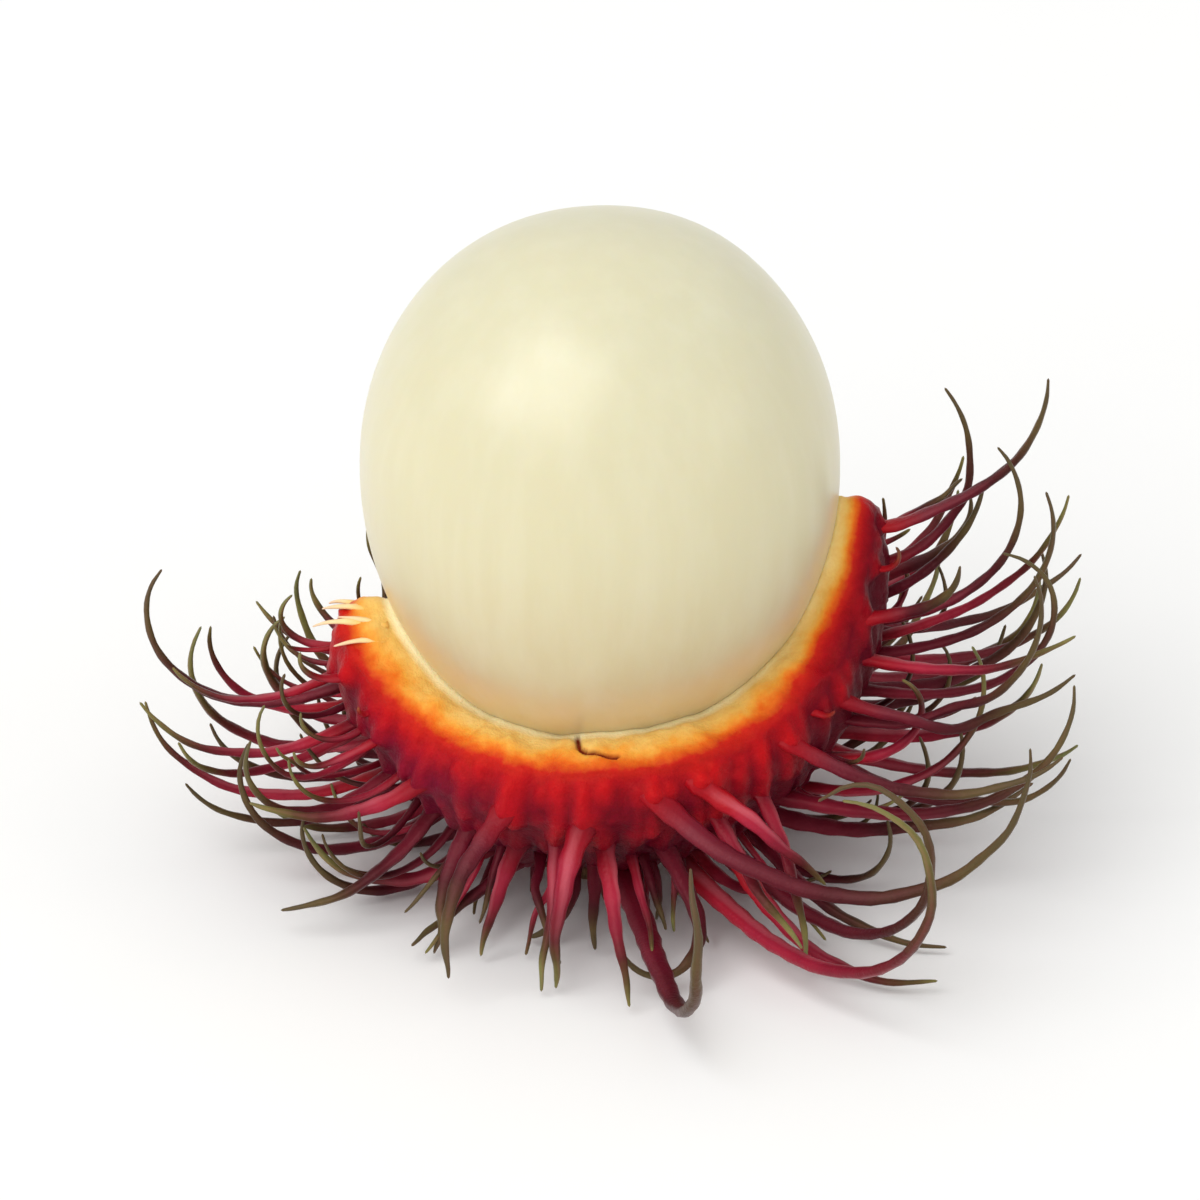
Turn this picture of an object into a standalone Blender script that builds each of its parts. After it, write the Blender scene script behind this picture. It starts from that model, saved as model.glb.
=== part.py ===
"""A half-peeled rambutan: a torn cup of spiny rind, with the white flesh standing in it.

Metres, +Z up. The origin is the middle of the stem scar, the small flat spot that the fruit stands on.
An azimuth is in degrees, from the front (-Y) towards the right (+X).
"""

import bmesh
import bpy
import numpy as np

MM = 0.001

# The flesh: an egg, widest above its middle.
FLESH_RADIUS = 14.75 * MM
FLESH_WAIST = 26.9 * MM
FLESH_BELOW = 18.1 * MM
FLESH_ABOVE = 16.1 * MM
FLESH_BLUNTNESS = 2.15

# The rind's outside, before its spines: half of a spheroid, on a short stem scar.
BODY_RADIUS = 17.2 * MM
BODY_HALF_HEIGHT = 18.8 * MM
BODY_FOOT = 1.2 * MM
SCAR_RADIUS = 4.2 * MM
SCAR_FLARE = 6.2 * MM

# The torn rim: the lip's height at each azimuth, and how its edge stands off the flesh. The wall is
# thinner where the rim rises into a tongue.
RIM = [
    (0, 13.7), (25, 14.2), (50, 15.6), (68, 17.8), (78, 22.0), (88, 24.9), (98, 22.8), (110, 20.2),
    (124, 17.8), (145, 15.8), (175, 14.8), (210, 14.2), (235, 13.6), (250, 14.2), (263, 16.4),
    (277, 17.6), (292, 15.4), (306, 13.4), (335, 13.2),
]
RIM_SLOPE = 0.7 * MM
RIM_WALL = 2.9 * MM
TONGUE_WALL = 1.9 * MM
TONGUE_START = 17.0 * MM
TONGUE_TOP = 22.5 * MM
RIM_GAP = 0.5 * MM
GAP = 0.3 * MM
SHOULDER_START = 0.72

# The grid of faces that the spines grow from.
COLUMNS = 48
OUTER_ROWS = 10
INNER_ROWS = 9

# Spines shaped one by one: azimuth, root height and length in mm, lift above the horizontal at the
# root and at the tip, turn from the root's azimuth at both, how late the bend comes, width in mm.
SHAPED_SPINES = [
    # Hanging at the front.
    (-24, 10.0, 11.5, -30, -100, -15, 70, 3.0, 1.5),
    (-4, 9.8, 12.0, -30, -100, -20, -20, 1.0, 1.5),
    (8, 4.2, 31.0, -14, 165, 5, 0, 2.6, 1.8),
    (-39, 7.2, 11.0, -40, -70, 0, 30, 1.2, 1.3),
    (-54, 7.0, 12.0, -35, -10, 10, -50, 1.6, 1.2),
    (-10, 4.5, 9.0, -50, -20, 10, -120, 2.0, 1.2),
    (17, 7.4, 14.0, -55, 40, 40, -160, 1.6, 1.2),
    # Swept round to the right.
    (13, 11.6, 31.0, -40, 95, 62, 75, 1.4, 1.4),
    (25, 13.4, 10.0, -50, -40, 55, 60, 1.2, 1.4),
    (27, 4.4, 37.0, -12, 185, 10, 60, 2.4, 1.5),
    (45, 4.8, 34.0, -11, 230, -8, 40, 2.4, 1.3),
    (35, 7.4, 18.0, -42, 10, 0, 55, 1.5, 1.4),
    (63, 4.8, 18.0, -25, 0, -30, 20, 1.5, 1.3),
    (56, 6.4, 17.5, -22, 32, 30, 42, 1.0, 1.45),
    # At the right, curling up.
    (49, 13.2, 17.5, -30, 40, 25, 40, 1.2, 1.25),
    (65, 14.4, 15.0, -20, 30, 10, 45, 1.0, 1.15),
    (74, 16.0, 13.5, -5, 30, 0, 30, 1.5, 1.15),
    (51, 8.6, 24.0, -6, 95, 25, 45, 2.0, 1.35),
    (90, 24.0, 15.8, -10, 90, 0, 0, 1.0, 1.15),
    (94, 19.4, 15.0, 2, 125, 5, 5, 0.8, 1.0),
    (96, 22.0, 6.0, 15, 35, 0, 0, 1.2, 0.9),
    (85, 16.9, 17.5, 8, 130, 5, 5, 1.4, 1.0),
    (93, 17.2, 10.5, 18, 78, 5, 0, 1.0, 1.0),
    (83, 14.8, 18.5, 6, 112, 6, 6, 1.6, 1.0),
    (76, 18.4, 8.5, 15, 80, 5, -50, 1.6, 1.3),
    (68, 12.5, 20.0, 0, 110, 5, 20, 1.5, 1.05),
    (80, 12.8, 21.0, -5, 170, 5, 20, 2.0, 1.0),
    (69, 7.0, 19.0, -5, 120, 10, 40, 1.6, 1.0),
    (102, 17.0, 9.0, 15, 100, -5, 10, 2.5, 1.3),
    (66, 9.7, 11.0, 0, 150, 15, 40, 2.0, 1.2),
    (93, 14.2, 17.0, 10, 80, 5, -10, 1.5, 0.95),
    # At the left, low.
    (-44, 4.2, 14.0, -30, 70, -30, -50, 1.5, 1.3),
    (-50, 9.8, 11.0, -30, 30, -25, -40, 1.2, 1.3),
    (-27, 4.4, 10.0, -22, -10, -30, -10, 1.2, 1.1),
    (-23, 7.0, 9.0, -50, -70, -20, -10, 1.2, 1.3),
]

# The other spines: they fill the rind on a golden-angle lattice, wherever a root has room.
LATTICE_POINTS = 180
GOLDEN_ANGLE = 137.508
ROOT_SPACING = 2.3 * MM
LOWEST_ROOT = 2.6 * MM
BARE_BELOW_RIM = 1.7 * MM
BARER_IN_FRONT = 2.6 * MM
SHORT_BELOW_RIM = 4.2 * MM
SEED = 8

# Their length in mm, lift at the root, lift at the tip and sweep: those that curl up, and those that
# hang, which are within HANGING_HALF of the front and fade out over HANGING_FADE.
CURLING = (14.8, 0, 95, 45)
HANGING = (10.0, -18, -70, 30)
HANGING_HALF = 62
HANGING_FADE = 30
SHORTEST = 2.2
THINNEST = 0.7
THICKER = 0.5
FOLLOWS_SLOPE = 0.55
LATENESS = 1.6

# How much they vary: shares of length and width, and degrees of lift at root and tip and of turn.
VARIED_LENGTH = 0.22
VARIED_WIDTH = 0.15
VARIED_LIFT = 10
VARIED_RISE = 55
VARIED_TURN = 14

# How a spine tapers, its base's flare, and how many points its route has.
TIP_WIDTH = 0.28
TAPER = 0.65
FLARE = 0.3
FLARE_PART = 0.05
ROUTE_STEPS = 18
SHAPED_STRIDE = 2
FILLING_STRIDE = 3
SHORT_STRIDE = 9
SHORT_LENGTH = 5.0
FLOOR_CLEARANCE = 0.6 * MM
CLEARANCE = 0.4 * MM
NEIGHBOURHOOD = 5.0 * MM
ROOT_PART = 0.4
ROUNDS = 80
SOFTENINGS = 3
TIP_SHARE = 0.7


def body_angle(height):
    """The angle of the body's outline at a height: 0 at the foot, 90 degrees where it is widest."""
    return np.arccos(1 - (height - BODY_FOOT) / BODY_HALF_HEIGHT)


def body_outline(angle):
    """Radius and height of the body's outline at an angle."""
    return BODY_RADIUS * np.sin(angle), BODY_FOOT + BODY_HALF_HEIGHT * (1 - np.cos(angle))


def flesh_radius(height, grown=0.0):
    """The flesh's radius at a height, with its surface grown outwards."""
    above = height > FLESH_WAIST
    half = np.where(above, FLESH_ABOVE, FLESH_BELOW) + grown
    power = np.where(above, FLESH_BLUNTNESS, 2.0)
    level = np.clip(np.abs(height - FLESH_WAIST) / half, 0, 1)
    return (FLESH_RADIUS + grown) * (1 - level**power) ** (1 / power)


def rim_height(azimuth):
    """The lip's height: a smooth closed curve through the heights in RIM."""
    knots = np.array(RIM, float)
    count = len(knots)
    wrapped = np.mod(azimuth, 360)
    before = np.searchsorted(knots[:, 0], wrapped, side="right") - 1
    start = knots[before, 0]
    end = np.where(before + 1 < count, knots[(before + 1) % count, 0], 360)
    part = (wrapped - start) / (end - start)
    p0, p1, p2, p3 = (knots[(before + step) % count, 1] for step in (-1, 0, 1, 2))
    bend = 2 * p0 - 5 * p1 + 4 * p2 - p3 + (3 * (p1 - p2) + p3 - p0) * part
    return (p1 + 0.5 * part * (p2 - p0 + part * bend)) * MM


def rim_wall(azimuth):
    """The wall's thickness along the rim: it thins as the rim rises into the tongue."""
    rise = smooth((rim_height(azimuth) - TONGUE_START) / (TONGUE_TOP - TONGUE_START))
    return RIM_WALL + (TONGUE_WALL - RIM_WALL) * rise


def ring(azimuth, radius, height):
    """Points at these azimuths, radii and heights, as rows of x, y and z."""
    turn = np.radians(azimuth)
    return np.stack(
        np.broadcast_arrays(radius * np.sin(turn), -radius * np.cos(turn), height), axis=-1
    )


def smooth(value):
    value = np.clip(value, 0, 1)
    return value * value * (3 - 2 * value)


def rind_rows(azimuth):
    """The rind's outline as rows of points: out and up from the scar, over the rim, down inside."""
    lip = rim_height(azimuth)
    lip_radius = flesh_radius(lip, RIM_GAP)
    edge = lip - RIM_SLOPE
    edge_radius = lip_radius + rim_wall(azimuth)
    first = np.arcsin(SCAR_FLARE / BODY_RADIUS)
    rows = [ring(azimuth, SCAR_RADIUS, 0.0)]
    for part in np.linspace(0, 1, OUTER_ROWS + 1):
        radius, height = body_outline(first + (body_angle(edge) - first) * part)
        shoulder = smooth((part - SHOULDER_START) / (1 - SHOULDER_START))
        rows.append(ring(azimuth, radius + (edge_radius - radius) * shoulder, height))
    rows.append(ring(azimuth, lip_radius, lip))
    depth = FLESH_BELOW + GAP
    last = np.arccos((FLESH_WAIST - lip) / depth)
    for part in np.linspace(1, 0, INNER_ROWS + 1)[1:-1]:
        height = FLESH_WAIST - depth * np.cos(last * part)
        rows.append(ring(azimuth, flesh_radius(height, GAP), height))
    return rows, (0.0, 0.0, FLESH_WAIST - depth)


def spine_route(azimuth, height, length, lift, turn, lateness):
    """A spine's middle line: it bends in lift and turn, more towards its tip, and stays off the floor."""
    radius, level = body_outline(body_angle(height))
    steps = (np.arange(ROUTE_STEPS) + 0.5) / ROUTE_STEPS
    bend = steps**lateness
    rise = np.radians(lift[0] + (lift[1] - lift[0]) * bend)
    way = azimuth + turn[0] + (turn[1] - turn[0]) * bend
    moves = np.cumsum(ring(way, np.cos(rise), np.sin(rise)), axis=0) / ROUTE_STEPS
    drop = max(-moves[:, 2].min(), 0.01)
    length = min(length, (level - FLOOR_CLEARANCE) / drop)
    return ring(azimuth, radius, level) + np.vstack([np.zeros(3), moves]) * length


def spine_widths(width):
    """A spine's half width at each point of its route: a flared base, then a taper."""
    along = np.linspace(0, 1, ROUTE_STEPS + 1)
    taper = TIP_WIDTH + (width - TIP_WIDTH) * (1 - along) ** TAPER
    return (taper + FLARE * width * np.exp(-along / FLARE_PART)) * MM / 2


def filling_spines(taken):
    """Spines for the rest of the rind: hanging in front, and curling up and out elsewhere."""
    chance = np.random.default_rng(SEED)
    roots = [tuple(ring(spine[0], *body_outline(body_angle(spine[1] * MM)))) for spine in taken]
    spines = []
    for index in range(LATTICE_POINTS):
        azimuth = (index * GOLDEN_ANGLE) % 360
        front = smooth((HANGING_HALF - abs((azimuth + 180) % 360 - 180)) / HANGING_FADE)
        top = body_angle(rim_height(azimuth) - BARE_BELOW_RIM - BARER_IN_FRONT * front)
        low = body_angle(LOWEST_ROOT)
        part = (index + 0.5) / LATTICE_POINTS
        angle = np.arccos(np.cos(low) + (np.cos(top) - np.cos(low)) * part)
        noise = chance.uniform(-1, 1, 5)
        radius, height = body_outline(angle)
        root = ring(azimuth, radius, height)
        if min(np.linalg.norm(root - other) for other in roots) < ROOT_SPACING:
            continue
        roots.append(tuple(root))
        below = smooth((rim_height(azimuth) - height - BARE_BELOW_RIM) / SHORT_BELOW_RIM)
        style = (1 - front) * np.array(CURLING) + front * np.array(HANGING)
        length = (SHORTEST + style[0] * below) * (1 + VARIED_LENGTH * noise[0])
        lift = FOLLOWS_SLOPE * (np.degrees(angle) - 90) + style[1] + VARIED_LIFT * noise[1]
        rise = style[2] + VARIED_RISE * noise[2]
        turn = VARIED_TURN * noise[3]
        sweep = turn + style[3] * noise[4]
        width = (THINNEST + THICKER * below) * (1 + VARIED_WIDTH * noise[1])
        spines.append((azimuth, height / MM, length, lift, rise, turn, sweep, LATENESS, width))
    return spines


def spread(routes, widths):
    """Moves spines that cross a little apart, with their roots held, off the body and the floor."""
    count, points = widths.shape
    owner = np.repeat(np.arange(count), points)
    thick = widths.reshape(-1)
    flat = routes.reshape(-1, 3)
    near = np.linalg.norm(flat[:, None] - flat[None], axis=-1) < NEIGHBOURHOOD
    first, second = np.nonzero(near & (owner[:, None] < owner[None]))
    wanted = (thick[first] + thick[second] + CLEARANCE)[:, None]
    along = np.linspace(0, 1, points)[None, :, None]
    for _ in range(ROUNDS):
        flat = routes.reshape(-1, 3)
        apart = flat[first] - flat[second]
        distance = np.linalg.norm(apart, axis=1, keepdims=True) + 1e-9
        move = apart / distance * np.clip(wanted - distance, 0, None) / 2
        push = np.zeros_like(flat)
        np.add.at(push, first, move)
        np.add.at(push, second, -move)
        push = push.reshape(routes.shape)
        for _ in range(SOFTENINGS):
            ends = np.concatenate([push[:, :1], push, push[:, -1:]], axis=1)
            push = (ends[:, :-2] + 2 * ends[:, 1:-1] + ends[:, 2:]) / 4
        routes = off_the_body(routes + push * along**TIP_SHARE, widths[..., None], along)
    return routes


def off_the_body(routes, reach, along):
    """Keeps the routes outside the rind and the flesh, but for their roots, and above the floor."""
    height = np.clip(routes[..., 2:], BODY_FOOT, None)
    level = np.clip(height, None, BODY_FOOT + BODY_HALF_HEIGHT)
    inside = np.maximum(body_outline(body_angle(level))[0], flesh_radius(height))
    across = np.linalg.norm(routes[..., :2], axis=-1, keepdims=True) + 1e-9
    wanted = inside + (reach + CLEARANCE) * smooth(along / ROOT_PART)
    routes = routes.copy()
    routes[..., :2] *= np.maximum(wanted / across, 1)
    routes[..., 2:] = np.maximum(routes[..., 2:], reach)
    return routes


def spine_rings(route, widths):
    """Four corners round each point of a route but its first, carried along without twisting."""
    ways = np.gradient(route, axis=0)
    ways /= np.linalg.norm(ways, axis=1, keepdims=True)
    side = np.cross(ways[0], (0.0, 0.0, 1.0))
    rings = []
    for point, way, width in zip(route, ways, widths):
        side = side - way * np.dot(side, way)
        side /= np.linalg.norm(side)
        up = np.cross(way, side)
        rings.append((point, side * width, up * width))
    return rings[1:]


def make_material(name, colour, roughness):
    material = bpy.data.materials.new(name)
    material.use_nodes = True
    shader = material.node_tree.nodes["Principled BSDF"]
    shader.inputs["Base Color"].default_value = (*colour, 1)
    shader.inputs["Roughness"].default_value = roughness
    shader.inputs["Metallic"].default_value = 0.0
    return material


def add_object(name, bm, material):
    mesh = bpy.data.meshes.new(name)
    bm.to_mesh(mesh)
    bm.free()
    mesh.materials.append(material)
    mesh.shade_smooth()
    mesh.set_sharp_from_angle(angle=np.radians(40))
    bpy.context.scene.collection.objects.link(bpy.data.objects.new(name, mesh))


def lathe(bm, rows, start, end):
    """Joins rows of points into a closed surface and returns its faces, row by row."""
    rings = [[bm.verts.new(point) for point in row] for row in rows]
    bands = []
    for lower, upper in zip(rings, rings[1:]):
        band = []
        for column in range(len(lower)):
            following = (column + 1) % len(lower)
            corners = (lower[column], lower[following], upper[following], upper[column])
            band.append(bm.faces.new(corners))
        bands.append(band)
    for row, point, turn in ((rings[0], start, -1), (rings[-1], end, 1)):
        if point is None:
            bm.faces.new(row[::turn])
            continue
        pole = bm.verts.new(point)
        for column in range(len(row)):
            bm.faces.new((row[column], row[(column + 1) % len(row)], pole)[::turn])
    return bands


def grow_spine(bm, face, rings):
    """Extrudes a four-sided face of the rind along a spine, its corners kept in their order."""
    _, side, up = rings[0]
    corners = np.array([vert.co for vert in face.verts])
    corners -= corners.mean(axis=0)
    quarters = np.exp(-0.5j * np.pi * np.arange(4))
    first = np.angle(((corners @ side + 1j * (corners @ up)) * quarters).sum())
    for point, side, up in rings:
        face = bmesh.ops.extrude_discrete_faces(bm, faces=[face])["faces"][0]
        for quarter, vert in enumerate(face.verts):
            angle = first + quarter * np.pi / 2
            vert.co = point + side * np.cos(angle) + up * np.sin(angle)


def nearest_face(faces, root):
    """The face whose middle is nearest to a spine's root, taken off the list of free faces."""
    nearest = min(faces, key=lambda face: np.linalg.norm(np.array(face.calc_center_median()) - root))
    faces.remove(nearest)
    return nearest


def make_rind():
    azimuth = np.arange(COLUMNS) * 360 / COLUMNS
    bm = bmesh.new()
    rows, bottom = rind_rows(azimuth)
    bands = lathe(bm, rows, None, bottom)
    spines = SHAPED_SPINES + filling_spines(SHAPED_SPINES)
    routes = np.array([
        spine_route(azimuth, height * MM, length * MM, (lift, rise), (turn, sweep), lateness)
        for azimuth, height, length, lift, rise, turn, sweep, lateness, _ in spines
    ])
    widths = np.array([spine_widths(spine[-1]) for spine in spines])
    routes = spread(routes, widths)
    free = [face for band in bands[1 : 1 + OUTER_ROWS] for face in band]
    for index, spine in enumerate(spines):
        face = nearest_face(free, routes[index][0])
        stride = SHAPED_STRIDE if index < len(SHAPED_SPINES) else FILLING_STRIDE
        if spine[2] < SHORT_LENGTH:
            stride = SHORT_STRIDE
        rings = spine_rings(routes[index][::stride], widths[index][::stride])
        grow_spine(bm, face, rings)
    add_object("rind", bm, make_material("rind", (0.42, 0.02, 0.02), 0.45))


def make_flesh():
    """The flesh is turned, so its outline is rows of rings between its two poles."""
    azimuth = np.arange(COLUMNS) * 360 / COLUMNS
    rows = []
    for angle in np.linspace(-90, 90, 19)[1:-1]:
        half = FLESH_ABOVE if angle > 0 else FLESH_BELOW
        height = FLESH_WAIST + half * np.sin(np.radians(angle))
        rows.append(ring(azimuth, flesh_radius(height), height))
    bm = bmesh.new()
    lathe(bm, rows, (0, 0, FLESH_WAIST - FLESH_BELOW), (0, 0, FLESH_WAIST + FLESH_ABOVE))
    add_object("flesh", bm, make_material("flesh", (0.80, 0.76, 0.58), 0.3))


for old in list(bpy.data.objects):
    bpy.data.objects.remove(old)
make_rind()
make_flesh()
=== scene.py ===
"""The looks of a half-peeled rambutan: spiny rind, torn rim, moist flesh and a pale studio.

Metres, +Z up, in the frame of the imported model. An azimuth is in degrees, from the front (-Y) towards
the right (+X). A height is above the surface that the fruit stands on.
"""

import bpy
import numpy as np
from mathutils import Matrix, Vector


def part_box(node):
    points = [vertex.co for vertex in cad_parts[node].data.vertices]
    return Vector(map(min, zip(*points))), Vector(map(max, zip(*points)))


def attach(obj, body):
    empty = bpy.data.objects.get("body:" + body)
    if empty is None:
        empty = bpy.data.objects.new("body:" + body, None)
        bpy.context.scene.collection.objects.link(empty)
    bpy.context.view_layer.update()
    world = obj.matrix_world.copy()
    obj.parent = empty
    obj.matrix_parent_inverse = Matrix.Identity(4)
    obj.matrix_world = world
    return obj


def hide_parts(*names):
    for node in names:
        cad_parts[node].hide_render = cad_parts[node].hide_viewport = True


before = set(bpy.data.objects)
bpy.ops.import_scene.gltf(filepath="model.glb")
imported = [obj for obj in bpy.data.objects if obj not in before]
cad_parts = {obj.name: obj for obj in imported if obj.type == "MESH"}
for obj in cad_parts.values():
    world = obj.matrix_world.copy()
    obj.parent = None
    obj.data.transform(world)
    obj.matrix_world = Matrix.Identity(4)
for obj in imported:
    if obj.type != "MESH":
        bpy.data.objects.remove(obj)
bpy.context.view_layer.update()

bl_info = {
    "name": "Half-Peeled Rambutan",
    "version": (1, 0, 0),
    "blender": (4, 5, 0),
    "location": "3D View > Sidebar > Rambutan",
    "description": "A torn cup of spiny rind with white flesh standing in it",
    "category": "Add Mesh",
}

MM = 0.001

# The flesh, from the frame: an egg, widest above its middle.
FLESH_LOW, FLESH_HIGH = (np.array(corner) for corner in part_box("flesh"))
FLESH_RADIUS = (FLESH_HIGH[0] - FLESH_LOW[0]) / 2
FLESH_BELOW = 18.1 * MM
FLESH_WAIST = FLESH_LOW[2] + FLESH_BELOW
FLESH_ABOVE = FLESH_HIGH[2] - FLESH_WAIST
FLESH_BLUNTNESS = 2.15

# The rind's outside, before its spines: half of a spheroid, on a short stem scar.
BODY_RADIUS = 17.2 * MM
BODY_HALF_HEIGHT = 18.8 * MM
BODY_FOOT = 1.2 * MM
SCAR_RADIUS = 4.2 * MM
SCAR_FLARE = 6.2 * MM

# The torn rim: the lip's height at each azimuth, and how its edge stands off the flesh.
RIM = [
    (0, 13.7), (25, 14.2), (50, 15.6), (68, 17.8), (78, 22.0), (88, 24.9), (98, 22.8), (110, 20.2),
    (124, 17.8), (145, 15.8), (175, 14.8), (210, 14.2), (235, 13.6), (250, 14.2), (263, 16.4),
    (277, 17.6), (292, 15.4), (306, 13.4), (335, 13.2),
]
RIM_SLOPE = 0.7 * MM
RIM_WALL = 2.9 * MM
TONGUE_WALL = 1.9 * MM
TONGUE_START = 17.0 * MM
TONGUE_TOP = 22.5 * MM
RIM_GAP = 0.5 * MM
GAP = 0.3 * MM
SHOULDER_START = 0.72

# Spines shaped one by one: azimuth, root height and length in mm, lift above the horizontal at the
# root and at the tip, turn from the root's azimuth at both, how late the bend comes, width in mm.
SHAPED_SPINES = [
    # Hanging at the front.
    (-24, 10.0, 11.5, -30, -100, -15, 70, 3.0, 1.5),
    (-4, 9.8, 12.0, -30, -100, -20, -20, 1.0, 1.5),
    (8, 4.2, 31.0, -14, 165, 5, 0, 2.6, 1.8),
    (-39, 7.2, 11.0, -40, -70, 0, 30, 1.2, 1.3),
    (-54, 7.0, 12.0, -35, -10, 10, -50, 1.6, 1.2),
    (-10, 4.5, 9.0, -50, -20, 10, -120, 2.0, 1.2),
    (17, 7.4, 14.0, -55, 40, 40, -160, 1.6, 1.2),
    # Swept round to the right.
    (13, 11.6, 31.0, -40, 95, 62, 75, 1.4, 1.4),
    (25, 13.4, 10.0, -50, -40, 55, 60, 1.2, 1.4),
    (27, 4.4, 37.0, -12, 185, 10, 60, 2.4, 1.5),
    (45, 4.8, 34.0, -11, 230, -8, 40, 2.4, 1.3),
    (35, 7.4, 18.0, -42, 10, 0, 55, 1.5, 1.4),
    (63, 4.8, 18.0, -25, 0, -30, 20, 1.5, 1.3),
    (56, 6.4, 17.5, -22, 32, 30, 42, 1.0, 1.45),
    # At the right, curling up.
    (49, 13.2, 17.5, -30, 40, 25, 40, 1.2, 1.25),
    (65, 14.4, 15.0, -20, 30, 10, 45, 1.0, 1.15),
    (74, 16.0, 13.5, -5, 30, 0, 30, 1.5, 1.15),
    (51, 8.6, 24.0, -6, 95, 25, 45, 2.0, 1.35),
    (90, 24.0, 15.8, -10, 90, 0, 0, 1.0, 1.15),
    (94, 19.4, 15.0, 2, 125, 5, 5, 0.8, 1.0),
    (96, 22.0, 6.0, 15, 35, 0, 0, 1.2, 0.9),
    (85, 16.9, 17.5, 8, 130, 5, 5, 1.4, 1.0),
    (93, 17.2, 10.5, 18, 78, 5, 0, 1.0, 1.0),
    (83, 14.8, 18.5, 6, 112, 6, 6, 1.6, 1.0),
    (76, 18.4, 8.5, 15, 80, 5, -50, 1.6, 1.3),
    (68, 12.5, 20.0, 0, 110, 5, 20, 1.5, 1.05),
    (80, 12.8, 21.0, -5, 170, 5, 20, 2.0, 1.0),
    (69, 7.0, 19.0, -5, 120, 10, 40, 1.6, 1.0),
    (102, 17.0, 9.0, 15, 100, -5, 10, 2.5, 1.3),
    (66, 9.7, 11.0, 0, 150, 15, 40, 2.0, 1.2),
    (93, 14.2, 17.0, 10, 80, 5, -10, 1.5, 0.95),
    # At the left, low.
    (-44, 4.2, 14.0, -30, 70, -30, -50, 1.5, 1.3),
    (-50, 9.8, 11.0, -30, 30, -25, -40, 1.2, 1.3),
    (-27, 4.4, 10.0, -22, -10, -30, -10, 1.2, 1.1),
    (-23, 7.0, 9.0, -50, -70, -20, -10, 1.2, 1.3),
]

# The other spines: they fill the rind on a golden-angle lattice, wherever a root has room.
LATTICE_POINTS = 180
GOLDEN_ANGLE = 137.508
ROOT_SPACING = 2.3 * MM
LOWEST_ROOT = 2.6 * MM
BARE_BELOW_RIM = 1.7 * MM
BARER_IN_FRONT = 2.6 * MM
SHORT_BELOW_RIM = 4.2 * MM
SEED = 8

# Their length in mm, lift at the root, lift at the tip and sweep: those that curl up, and those that
# hang, which are within HANGING_HALF of the front and fade out over HANGING_FADE. A root stands in front
# where its share of the hanging style is over IN_FRONT.
CURLING = (14.8, 0, 95, 45)
HANGING = (10.0, -18, -70, 30)
HANGING_HALF = 62
HANGING_FADE = 30
IN_FRONT = 0.1
SHORTEST = 2.2
THINNEST = 0.7
THICKER = 0.5
FOLLOWS_SLOPE = 0.55
LATENESS = 1.6

# How much they vary: shares of length and width, and degrees of lift at root and tip and of turn.
VARIED_LENGTH = 0.22
VARIED_WIDTH = 0.15
VARIED_LIFT = 10
VARIED_RISE = 55
VARIED_TURN = 14

# How a spine tapers, its base's flare, how many points its route has, and how they stay clear of the
# floor and of each other.
TIP_WIDTH = 0.28
TAPER = 0.65
FLARE = 0.3
FLARE_PART = 0.05
ROUTE_STEPS = 18
FLOOR_CLEARANCE = 0.6 * MM
LEAST_DROP = 0.01
CLEARANCE = 0.4 * MM
NEIGHBOURHOOD = 5.0 * MM
ROOT_PART = 0.4
ROUNDS = 80
SOFTENINGS = 3
TIP_SHARE = 0.7


def body_angle(height):
    """The angle of the body's outline at a height: 0 at the foot, 90 degrees where it is widest."""
    return np.arccos(1 - (height - BODY_FOOT) / BODY_HALF_HEIGHT)


def body_outline(angle):
    """Radius and height of the body's outline at an angle."""
    return BODY_RADIUS * np.sin(angle), BODY_FOOT + BODY_HALF_HEIGHT * (1 - np.cos(angle))


def flesh_radius(height, grown=0.0):
    """The flesh's radius at a height, with its surface grown outwards."""
    above = height > FLESH_WAIST
    half = np.where(above, FLESH_ABOVE, FLESH_BELOW) + grown
    power = np.where(above, FLESH_BLUNTNESS, 2.0)
    level = np.clip(np.abs(height - FLESH_WAIST) / half, 0, 1)
    return (FLESH_RADIUS + grown) * (1 - level**power) ** (1 / power)


def rim_height(azimuth):
    """The lip's height: a smooth closed curve through the heights in RIM."""
    knots = np.array(RIM, float)
    count = len(knots)
    wrapped = np.mod(azimuth, 360)
    before = np.searchsorted(knots[:, 0], wrapped, side="right") - 1
    start = knots[before, 0]
    end = np.where(before + 1 < count, knots[(before + 1) % count, 0], 360)
    part = (wrapped - start) / (end - start)
    p0, p1, p2, p3 = (knots[(before + step) % count, 1] for step in (-1, 0, 1, 2))
    bend = 2 * p0 - 5 * p1 + 4 * p2 - p3 + (3 * (p1 - p2) + p3 - p0) * part
    return (p1 + 0.5 * part * (p2 - p0 + part * bend)) * MM


def rim_wall(azimuth):
    """The wall's thickness along the rim: it thins as the rim rises into the tongue."""
    rise = smooth((rim_height(azimuth) - TONGUE_START) / (TONGUE_TOP - TONGUE_START))
    return RIM_WALL + (TONGUE_WALL - RIM_WALL) * rise


def ring(azimuth, radius, height):
    """Points at these azimuths, radii and heights, as rows of x, y and z."""
    turn = np.radians(azimuth)
    return np.stack(
        np.broadcast_arrays(radius * np.sin(turn), -radius * np.cos(turn), height), axis=-1
    )


def smooth(value):
    value = np.clip(value, 0, 1)
    return value * value * (3 - 2 * value)


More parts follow.
